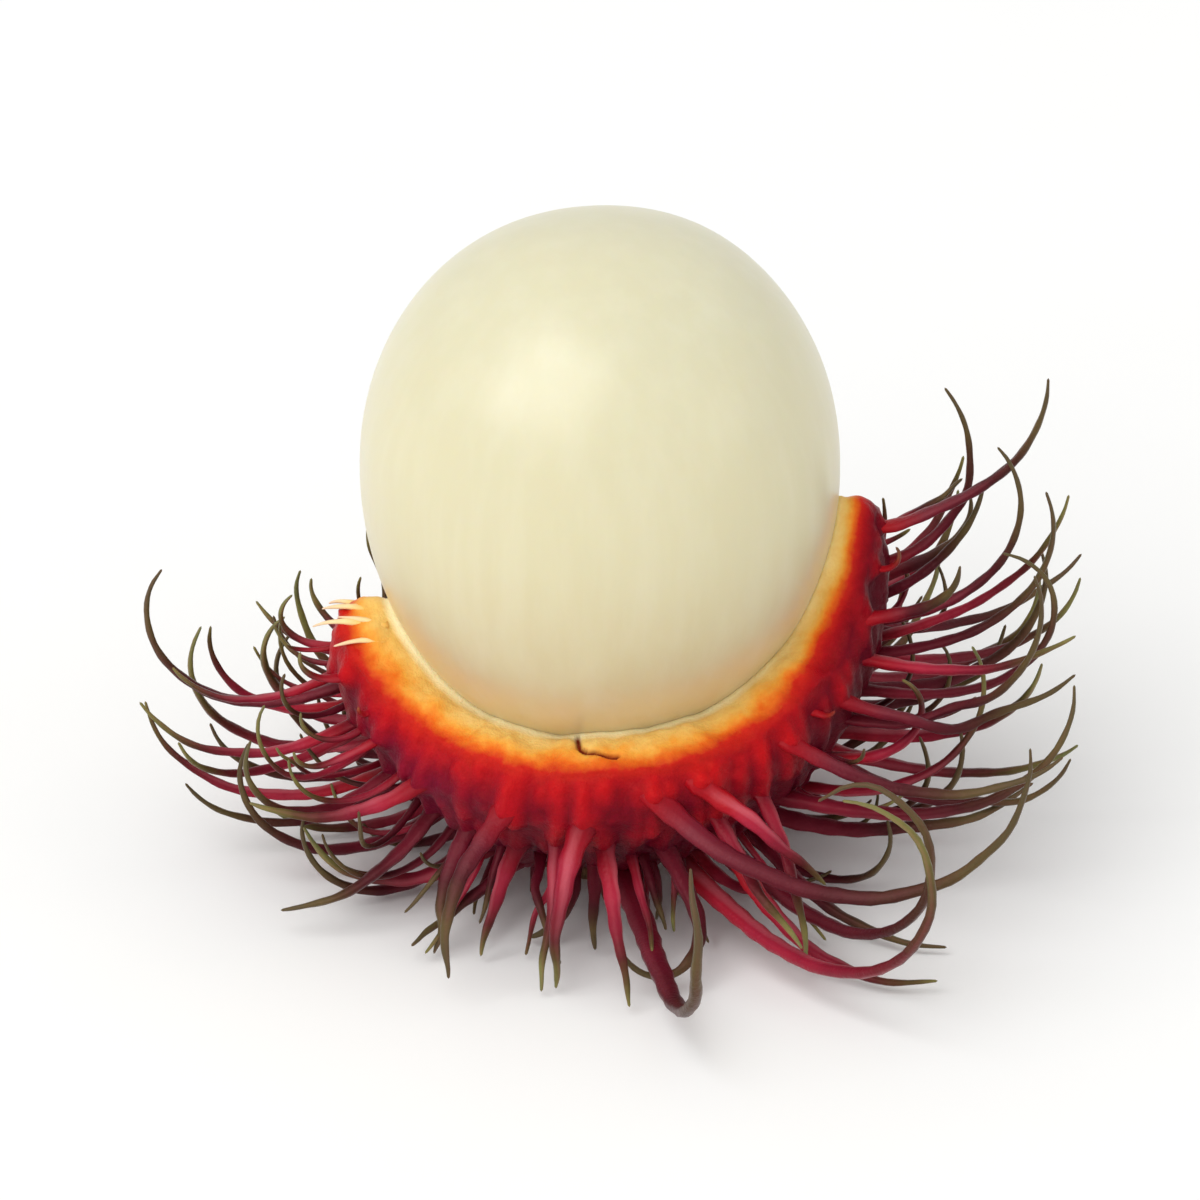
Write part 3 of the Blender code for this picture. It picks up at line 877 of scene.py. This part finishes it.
def join_strands(surface, constants):
    """One mesh of all strands: their rows in turn, then both poles of each.

    A value that changes along a strand comes with its value at the tip; constants are one number for
    each strand.
    """
    points, roots, tips, values = surface
    count, stations, sides = points.shape[:3]
    each = stations * sides
    starts = np.arange(count) * each
    quads = (closed_quads(stations, sides)[None] + starts[:, None, None]).reshape(-1, 4)
    fans = []
    for index, start in enumerate(starts):
        fans.append(pole_triangles(start, sides, count * each + index, -1))
        fans.append(pole_triangles(start + each - sides, sides, count * each + count + index, 1))
    everything = np.concatenate([points.reshape(-1, 3), roots, tips])
    ones = np.ones(count)
    joined = {
        name: np.concatenate([np.broadcast_to(along, points.shape[:3]).ravel(), 0 * ones, tip * ones])
        for name, (along, tip) in values.items()
    }
    for name, numbers in constants.items():
        joined[name] = np.concatenate([np.repeat(numbers, each), numbers, numbers])
    return everything, quads, np.concatenate(fans), joined


def torn_strands():
    """Routes and half widths of the strands that stand on the torn face, sagging towards their tips."""
    azimuth, part, length, lift, turn = np.array(STRANDS, float).T
    lip = torn_rim_height(azimuth)
    radius = flesh_radius(lip, RIM_GAP) + rim_wall(azimuth) * (1 - part)
    roots = ring(azimuth, radius, lip - RIM_SLOPE * (1 - part) + STRAND_RAISED)
    steps = (np.arange(ROUTE_STEPS) + 0.5)[:, None] / ROUTE_STEPS
    rise = np.radians(lift - STRAND_SAG * steps)
    moves = np.cumsum(ring(azimuth + turn * (1 + steps), np.cos(rise), np.sin(rise)), axis=0)
    moves = np.concatenate([np.zeros((1, *roots.shape)), moves]) * MM / ROUTE_STEPS
    routes = roots + moves * length[:, None]
    along = np.linspace(0, 1, ROUTE_STEPS + 1)
    share = STRAND_SHARE + STRAND_GAIN * length[:, None]
    widths = STRAND_WIDTH / 2 * MM * (1 - STRAND_TAPER * along) * share
    return routes.transpose(1, 0, 2), widths


def flesh_surface():
    """The flesh: its outline turned round, evenly in angle from pole to pole, with faint ripples."""
    azimuth = np.arange(FLESH_COLUMNS) * 360 / FLESH_COLUMNS
    rows = []
    for angle in np.linspace(-90, 90, FLESH_ROWS)[1:-1]:
        half = FLESH_ABOVE if angle > 0 else FLESH_BELOW
        height = FLESH_WAIST + half * np.sin(np.radians(angle))
        rows.append(ring(azimuth, flesh_radius(height), height))
    rows = np.array(rows)
    swell = rippled(rows, FLESH_RIPPLES) * eased(rows[..., 2], RIPPLED_FROM)
    return rows + row_normals(rows) * swell[..., None]


def below_lip_at(roots):
    """How far each root lies below the lip, in mm."""
    azimuth = azimuth_of(roots)
    return (rim_height(azimuth) - roots[:, 2] + rim_wall(azimuth)) / MM + BAND_PASSED


def band_rate(rows):
    """How fast the torn band's colours pass at each point, by its azimuth."""
    azimuth, rate = np.array(BAND_RATE).T
    return np.interp(azimuth_of(rows), azimuth, rate, period=360)


def membrane_share(rows):
    """How much of the pale membrane is left on the lip: all of it at the left and front, little on the
    tongue at the right."""
    azimuth = azimuth_of(rows)
    return 1 - MEMBRANE_LOST * eased(azimuth, BARE_FROM) * (1 - eased(azimuth, BARE_TO))


def shadow_share(rows, below):
    """How much dark purple painted shadow lies on the wall: a bell round one azimuth at the lower left,
    below the torn band.
    """
    left = np.exp(-(((azimuth_of(rows) - SHADOW_AZIMUTH) / SHADOW_HALF) ** 2))
    return SHADOW_SHARE * left * eased(below, SHADOW_BELOW)


# Finishes.

# The rind's colours from the lip down, its last stops darkening towards the foot, partly its own deeper
# red and partly painted shade; a spine's from its root to its tip; a torn strand's; and the flesh's under
# its top, yellower and darker low down, partly its own tone and partly painted shade near the rind; each
# with its place from 0 to 1.
RIND_BANDS = [
    (0.0, (0.92, 0.66, 0.24)),
    (0.13, (0.85, 0.50, 0.12)),
    (0.20, (0.84, 0.34, 0.045)),
    (0.26, (0.82, 0.15, 0.012)),
    (0.33, (0.66, 0.020, 0.008)),
    (0.42, (0.54, 0.006, 0.008)),
    # Painted shade: these last two stops darken the lower wall towards the foot, over its own deep red.
    (0.65, (0.38, 0.004, 0.010)),
    (1.0, (0.09, 0.002, 0.010)),
]
SPINE_BANDS = [
    (0.0, (0.42, 0.007, 0.016)),
    (0.22, (0.38, 0.018, 0.044)),
    (0.42, (0.22, 0.011, 0.028)),
    (0.60, (0.085, 0.014, 0.014)),
    (0.74, (0.085, 0.060, 0.020)),
    (0.88, (0.19, 0.18, 0.055)),
    (1.0, (0.16, 0.17, 0.065)),
]
STRAND_BANDS = [(0.0, (0.95, 0.55, 0.14)), (0.35, (0.96, 0.72, 0.36)), (1.0, (0.92, 0.64, 0.44))]
FLESH_TONE_AND_SHADE = [(0.45, (0.70, 0.64, 0.41)), (1.0, (0.64, 0.48, 0.22))]

# Single colours, by where they show.
# Painted shade for the hollows between the rind's ribs and bumps.
PAINTED_HOLLOW_SHADE = (0.07, 0.001, 0.010, 1)
INNER_WALL = (0.80, 0.52, 0.22, 1)
IN_THE_SPLIT = (0.16, 0.015, 0.004, 1)
# Painted shadow: dark purple, at the lower left of the wall.
PAINTED_SHADOW_PURPLE = (0.12, 0.003, 0.022, 1)
SCAR_BROWN = (0.16, 0.085, 0.04, 1)
SPINE_HIGHLIGHT = (0.72, 0.20, 0.24, 1)
DARK_AND_SHADED_SPINE = (0.045, 0.006, 0.012, 1)
FLESH_FIBRE = (0.88, 0.86, 0.72, 1)
FLESH_CLOUD = (0.72, 0.66, 0.40, 1)
WHITE = (1.0, 1.0, 1.0, 1.0)
FLOOR_SHADE = (0.93, 0.93, 0.92, 1)
FLOOR_LIGHT = (0.97, 0.97, 0.96, 1)


def node_material(name, roughness, **values):
    """A new material with its node tree and its shader, whose sockets take these values by their names,
    with spaces for underscores."""
    material = bpy.data.materials.new(name)
    material.use_nodes = True
    tree = material.node_tree
    shader = tree.nodes["Principled BSDF"]
    shader.inputs["Roughness"].default_value = roughness
    for title, value in values.items():
        shader.inputs[title.replace("_", " ")].default_value = value
    return material, tree, shader


def rind_material(name, roughness, tint):
    """The rind's faint sheen and glow, the same on its wall, its spines and its strands."""
    return node_material(
        name, roughness, Subsurface_Weight=0.15, Subsurface_Radius=(1.0, 0.25, 0.15),
        Subsurface_Scale=0.4 * MM, Specular_IOR_Level=0.25, Specular_Tint=tint,
    )


def attribute(tree, name):
    node = tree.nodes.new("ShaderNodeAttribute")
    node.attribute_name = name
    return node.outputs["Fac"]


def noise(tree, size, detail=4.0, fineness=(1, 1, 1)):
    """Noise on Object coordinates between 0 and 1, with features of about this size, or of that size
    over an axis's fineness."""
    coordinates = tree.nodes.new("ShaderNodeTexCoord")
    mapping = tree.nodes.new("ShaderNodeMapping")
    mapping.inputs["Scale"].default_value = [share / size for share in fineness]
    texture = tree.nodes.new("ShaderNodeTexNoise")
    texture.inputs["Scale"].default_value = 1.0
    texture.inputs["Detail"].default_value = detail
    texture.inputs["Roughness"].default_value = 0.55
    tree.links.new(coordinates.outputs["Object"], mapping.inputs["Vector"])
    tree.links.new(mapping.outputs["Vector"], texture.inputs["Vector"])
    return texture.outputs["Fac"]


def feed(tree, socket, value):
    """A socket takes either another node's output or a plain number."""
    if isinstance(value, (int, float, tuple)):
        socket.default_value = value
    else:
        tree.links.new(value, socket)


def maths(tree, operation, first, second=0.0, third=0.0):
    node = tree.nodes.new("ShaderNodeMath")
    node.operation = operation
    for socket, value in zip(node.inputs, (first, second, third)):
        feed(tree, socket, value)
    return node.outputs["Value"]


def scaled(tree, value, low, high, to_low=0.0, to_high=1.0):
    """A value's range from low to high carried to another, and held at its ends."""
    node = tree.nodes.new("ShaderNodeMapRange")
    for title, number in (
        ("From Min", low), ("From Max", high), ("To Min", to_low), ("To Max", to_high),
    ):
        node.inputs[title].default_value = number
    feed(tree, node.inputs["Value"], value)
    return node.outputs["Result"]


def ramp(tree, value, stops):
    """Colours along a value from 0 to 1."""
    node = tree.nodes.new("ShaderNodeValToRGB")
    elements = node.color_ramp.elements
    elements[0].position, elements[1].position = stops[0][0], stops[-1][0]
    for position, _ in stops[1:-1]:
        elements.new(position)
    for element, (_, colour) in zip(elements, stops):
        element.color = (*colour, 1)
    feed(tree, node.inputs["Fac"], value)
    return node.outputs["Color"]


def mixed(tree, share, first, second, blend="MIX"):
    """Two colours mixed by a share from 0 to 1. The node's sockets for colours come after those for
    numbers and vectors."""
    node = tree.nodes.new("ShaderNodeMix")
    node.data_type = "RGBA"
    node.blend_type = blend
    for socket, value in zip((0, 6, 7), (share, first, second)):
        feed(tree, node.inputs[socket], value)
    return node.outputs[2]


def bumped(tree, shader, height, distance):
    node = tree.nodes.new("ShaderNodeBump")
    node.inputs["Distance"].default_value = distance
    feed(tree, node.inputs["Height"], height)
    tree.links.new(node.outputs["Normal"], shader.inputs["Normal"])


def rind_colour(tree, below, mound):
    """Pale yellow at the lip, golden and orange over the torn face, then red and crimson, redder on the
    ribs and darkening towards the foot, partly as painted shade, with painted shade in the hollows lower
    down."""
    blotch = noise(tree, 2.3 * MM)
    shifted = maths(tree, "MULTIPLY_ADD", blotch, 2.6, below)
    shifted = maths(tree, "MULTIPLY_ADD", mound, 0.9, maths(tree, "ADD", shifted, -1.6))
    colour = ramp(tree, scaled(tree, shifted, 0.0, 10.0), RIND_BANDS)
    # Painted shade: the hollows between the ribs and bumps are darkened, more so further below the lip.
    hollow = scaled(tree, mound, 0.15, 0.65, 1.0, 0.0)
    deep = scaled(tree, below, 2.4, 6.0, 0.0, 0.8)
    shade = maths(tree, "MULTIPLY", hollow, deep)
    return mixed(tree, shade, colour, PAINTED_HOLLOW_SHADE)


def wall_material(membrane_colour):
    """The rind's wall: its colours by the distance below the lip, with the membrane, split and scar."""
    material, tree, shader = rind_material("rind_skin", 0.38, (1.0, 0.25, 0.15, 1))
    below = attribute(tree, "below_lip")
    colour = rind_colour(tree, below, attribute(tree, "mound"))
    lip = scaled(tree, maths(tree, "ABSOLUTE", maths(tree, "ADD", below, -0.2)), 0.30, 0.8, 1.0, 0.0)
    lip = maths(tree, "MULTIPLY", lip, attribute(tree, "membrane"))
    colour = mixed(tree, lip, colour, (*membrane_colour, 1))
    inner = scaled(tree, below, -0.6, -0.2, 1.0, 0.0)
    colour = mixed(tree, inner, colour, INNER_WALL)
    for title, low, high, shade in (
        ("split", 0.2, 0.8, IN_THE_SPLIT), ("left_shadow", 0.0, 1.0, PAINTED_SHADOW_PURPLE), ("scar", 0.2, 0.9, SCAR_BROWN),
    ):
        colour = mixed(tree, scaled(tree, attribute(tree, title), low, high), colour, shade)
    fine = noise(tree, 0.5 * MM)
    colour = mixed(tree, scaled(tree, fine, 0.3, 0.75, 0.0, 0.35), colour, WHITE, "SOFT_LIGHT")
    tree.links.new(colour, shader.inputs["Base Color"])
    bumped(tree, shader, maths(tree, "ADD", fine, noise(tree, 0.18 * MM, 3)), 0.06 * MM)
    return material


def spine_material():
    """Spines: the wall's own colour at the root, then crimson, maroon, brown and an olive tip, with
    painted pink highlights streaked along them."""
    material, tree, shader = rind_material("rind_spines", 0.34, (1.0, 0.45, 0.45, 1))
    along = attribute(tree, "along")
    blotch = noise(tree, 2.6 * MM)
    tone = maths(tree, "MULTIPLY_ADD", attribute(tree, "tint"), 0.42, along)
    tone = maths(tree, "MULTIPLY_ADD", blotch, 0.22, maths(tree, "ADD", tone, -0.32))
    colour = ramp(tree, tone, SPINE_BANDS)
    # Painted highlight: pale pink streaks along each spine, strongest towards its root.
    light = scaled(tree, attribute(tree, "highlight_streak"), 0.2, 1.0, 0.0, 0.42)
    light = maths(tree, "MULTIPLY", light, scaled(tree, tone, 0.1, 0.6, 1.0, 0.2))
    colour = mixed(tree, light, colour, SPINE_HIGHLIGHT)
    # Dark spines: some at random and those on the tongue, and the low ones whose darkness is painted
    # shade.
    dark = scaled(tree, attribute(tree, "tint"), 0.62, 0.72, 0.0, 0.6)
    colour = mixed(tree, dark, colour, DARK_AND_SHADED_SPINE)
    grown = scaled(tree, attribute(tree, "from_root"), 0.2, 3.2)
    colour = mixed(tree, grown, rind_colour(tree, attribute(tree, "below_lip"), 0.8), colour)
    tree.links.new(colour, shader.inputs["Base Color"])
    bumped(tree, shader, noise(tree, 0.30 * MM), 0.06 * MM)
    return material


def strand_material():
    """Torn strands: pale yellow, a little pink at their tips."""
    material, tree, shader = rind_material("torn_strands", 0.45, (1.0, 0.8, 0.6, 1))
    colour = ramp(tree, attribute(tree, "along"), STRAND_BANDS)
    tree.links.new(colour, shader.inputs["Base Color"])
    return material


def flesh_material(top_colour):
    """Flesh: creamy and translucent, yellower and darker low down, partly its own tone and partly painted
    shade near the rind, with faint paler fibres and a moist coat.
    """
    material, tree, shader = node_material(
        "moist_flesh", 0.34, Subsurface_Weight=0.6, Subsurface_Radius=(1.0, 0.75, 0.42),
        Subsurface_Scale=3.2 * MM, Coat_Weight=0.45, Coat_Roughness=0.35,
    )
    coordinates = tree.nodes.new("ShaderNodeTexCoord")
    split = tree.nodes.new("ShaderNodeSeparateXYZ")
    tree.links.new(coordinates.outputs["Object"], split.inputs[0])
    # Darker and yellower towards the bottom: partly the flesh's own tone, partly painted shade near the
    # rind.
    low = scaled(tree, split.outputs["Z"], 40 * MM, 12 * MM)
    colour = ramp(tree, low, [(0.0, tuple(top_colour)), *FLESH_TONE_AND_SHADE])
    fibre = noise(tree, 3.0 * MM, 5, (1.6, 1.6, 0.22))
    colour = mixed(tree, scaled(tree, fibre, 0.42, 0.72, 0.0, 0.14), colour, FLESH_FIBRE)
    cloud = noise(tree, 9 * MM, 3)
    colour = mixed(tree, scaled(tree, cloud, 0.35, 0.7, 0.0, 0.25), colour, FLESH_CLOUD)
    tree.links.new(colour, shader.inputs["Base Color"])
    bumped(tree, shader, noise(tree, 1.2 * MM, 4, (1, 1, 0.3)), 0.03 * MM)
    return material


def floor_material():
    material, tree, shader = node_material("pale_floor", 0.7, Specular_IOR_Level=0.2)
    colour = mixed(tree, noise(tree, 40 * MM, 3), FLOOR_SHADE, FLOOR_LIGHT)
    tree.links.new(colour, shader.inputs["Base Color"])
    return material


# The add-on.


class RambutanSettings(bpy.types.PropertyGroup):
    """The sizes, colours and powers that a user would change."""

    rib_height: bpy.props.FloatProperty(
        name="Rib Height",
        description="How far a rib stands out of the rind at a spine's root",
        default=RIB_HEIGHT,
        min=0.0,
        unit="LENGTH",
        subtype="DISTANCE",
    )
    membrane_colour: bpy.props.FloatVectorProperty(
        name="Membrane Colour",
        description="Colour of the pale membrane along the lip",
        default=(1.0, 0.86, 0.48),
        min=0.0,
        max=1.0,
        subtype="COLOR",
    )
    flesh_colour: bpy.props.FloatVectorProperty(
        name="Flesh Colour",
        description="Colour of the flesh towards its top",
        default=(0.70, 0.67, 0.47),
        min=0.0,
        max=1.0,
        subtype="COLOR",
    )
    key_power: bpy.props.FloatProperty(
        name="Key Light",
        description="Power of the large light at the upper left",
        default=20.0,
        unit="POWER",
    )
    fill_power: bpy.props.FloatProperty(
        name="Fill Light",
        description="Power of the light at the right",
        default=1.8,
        unit="POWER",
    )
    lens: bpy.props.FloatProperty(
        name="Lens",
        description="The camera's focal length in millimetres",
        default=500.0,
        subtype="DISTANCE_CAMERA",
    )


class RAMBUTAN_OT_wall(bpy.types.Operator):
    """Makes the cup of rind with its ribs, its torn rim and its stem scar"""

    bl_idname = "rambutan.wall"
    bl_label = "Make Wall"

    def execute(self, context):
        settings = context.scene.rambutan
        routes, _ = all_routes(SHAPED_SPINES + filling_spines(SHAPED_SPINES))
        rows, below, mound, split = wall_surface(routes[:, 0], settings.rib_height)
        poles = [rows[0].mean(axis=0), (0, 0, FLESH_WAIST - FLESH_BELOW - GAP)]
        scar = (1 - eased(rows[..., 2], SCAR_COLOUR_TO)) * (below > 0)
        values = {
            "below_lip": (below * band_rate(rows), [below.max(), below.min()]),
            "mound": (mound, [0, 0]),
            "split": (split, [0, 0]),
            "scar": (scar, [1, 0]),
            "membrane": (membrane_share(rows), [0, 0]),
            "left_shadow": (shadow_share(rows, below), [0, 0]),
        }
        material = wall_material(settings.membrane_colour)
        place(turned_object("rind_wall", rows, poles, values, material), "rind")
        return {"FINISHED"}


class RAMBUTAN_OT_spines(bpy.types.Operator):
    """Makes the spines, the fine spines between them, and the torn strands on the rim"""

    bl_idname = "rambutan.spines"
    bl_label = "Make Spines"

    def execute(self, context):
        material = spine_material()
        spines = SHAPED_SPINES + filling_spines(SHAPED_SPINES)
        self.add("rind_spines", *all_routes(spines), ROOT_DEPTH, SPINE_STATIONS, SPINE_SIDES, material)
        fine = all_routes(fine_spines(spines))
        self.add("fine_spines", *fine, ROOT_DEPTH, FINE_STATIONS, FINE_SIDES, material)
        grid = (STRAND_DEPTH, STRAND_STATIONS, STRAND_SIDES)
        self.add("torn_strands", *torn_strands(), *grid, strand_material())
        return {"FINISHED"}

    def add(self, name, routes, widths, depth, stations, sides, material):
        chance = np.random.default_rng(SEED + 1)
        surface = strand_surface(routes, widths, depth, stations, sides)
        tint = chance.uniform(0, 1, len(routes))
        height = routes[:, 0, 2]
        # Painted shade: many of the spines rooted low are given the dark tint.
        low = (height < SHADED_BELOW) & (chance.uniform(0, 1, len(routes)) < SHADED_SHARE)
        tint = np.where(low | (height > DARK_ABOVE), DARK_AND_SHADED_TINT, tint)
        constants = {"tint": tint, "below_lip": below_lip_at(routes[:, 0])}
        place(mesh_object(name, *join_strands(surface, constants), material), None)


class RAMBUTAN_OT_flesh(bpy.types.Operator):
    """Makes the smooth, moist flesh that stands in the rind"""

    bl_idname = "rambutan.flesh"
    bl_label = "Make Flesh"

    def execute(self, context):
        poles = [(0, 0, FLESH_LOW[2]), (0, 0, FLESH_HIGH[2])]
        material = flesh_material(context.scene.rambutan.flesh_colour)
        flesh = turned_object("flesh_skin", flesh_surface(), poles, {}, material)
        place(flesh, "flesh")
        return {"FINISHED"}


def add_facing(name, data, location, target):
    """A light or a camera that faces a point."""
    thing = bpy.data.objects.new(name, data)
    thing.location = location
    thing.rotation_mode = "QUATERNION"
    thing.rotation_quaternion = (target - thing.location).to_track_quat("-Z", "Y")
    bpy.context.scene.collection.objects.link(thing)
    return thing


def add_light(name, location, size, power):
    data = bpy.data.lights.new(name, "AREA")
    data.shape = "SQUARE"
    data.size = size
    data.energy = power
    add_facing(name, data, location, Vector((0, 0, LIT_HEIGHT)))


class RAMBUTAN_OT_stage(bpy.types.Operator):
    """Makes the pale floor, the soft lights and the camera"""

    bl_idname = "rambutan.stage"
    bl_label = "Make Stage"

    def execute(self, context):
        settings = context.scene.rambutan
        mesh = bpy.data.meshes.new("floor")
        corners = [(-1, -1, 0), (1, -1, 0), (1, 1, 0), (-1, 1, 0)]
        mesh.from_pydata([Vector(corner) * FLOOR_HALF for corner in corners], [], [(0, 1, 2, 3)])
        mesh.materials.append(floor_material())
        floor = bpy.data.objects.new("floor", mesh)
        context.scene.collection.objects.link(floor)

        world = bpy.data.worlds.new("studio")
        world.use_nodes = True
        sky = world.node_tree.nodes["Background"]
        sky.inputs["Color"].default_value = WHITE
        sky.inputs["Strength"].default_value = SKY
        context.scene.world = world

        add_light("key", KEY_PLACE, KEY_SIZE, settings.key_power)
        add_light("fill", FILL_PLACE, FILL_SIZE, settings.fill_power)

        data = bpy.data.cameras.new("camera")
        data.lens = settings.lens
        data.clip_start, data.clip_end = CAMERA_CLIP
        elevation = np.radians(CAMERA_ELEVATION)
        back = Vector((0, -np.cos(elevation), np.sin(elevation)))
        centre = Vector((0, 0, CAMERA_HEIGHT))
        distance = CAMERA_WIDTH * settings.lens / data.sensor_width
        context.scene.camera = add_facing("camera", data, centre + back * distance, centre)
        context.scene.view_settings.view_transform = "Standard"
        return {"FINISHED"}


class RAMBUTAN_PT_sidebar(bpy.types.Panel):
    """The rambutan's operators and settings"""

    bl_label = "Rambutan"
    bl_idname = "RAMBUTAN_PT_sidebar"
    bl_space_type = "VIEW_3D"
    bl_region_type = "UI"
    bl_category = "Rambutan"

    def draw(self, context):
        settings = context.scene.rambutan
        for operator in OPERATORS:
            self.layout.operator(operator.bl_idname)
        for title in RambutanSettings.__annotations__:
            self.layout.prop(settings, title)


OPERATORS = (RAMBUTAN_OT_wall, RAMBUTAN_OT_spines, RAMBUTAN_OT_flesh, RAMBUTAN_OT_stage)
CLASSES = (RambutanSettings, *OPERATORS, RAMBUTAN_PT_sidebar)


def register():
    for kind in CLASSES:
        bpy.utils.register_class(kind)
    bpy.types.Scene.rambutan = bpy.props.PointerProperty(type=RambutanSettings)


def unregister():
    del bpy.types.Scene.rambutan
    for kind in reversed(CLASSES):
        bpy.utils.unregister_class(kind)


def main():
    register()
    bpy.ops.rambutan.wall()
    bpy.ops.rambutan.spines()
    bpy.ops.rambutan.flesh()
    bpy.ops.rambutan.stage()


if __name__ == "__main__":
    main()
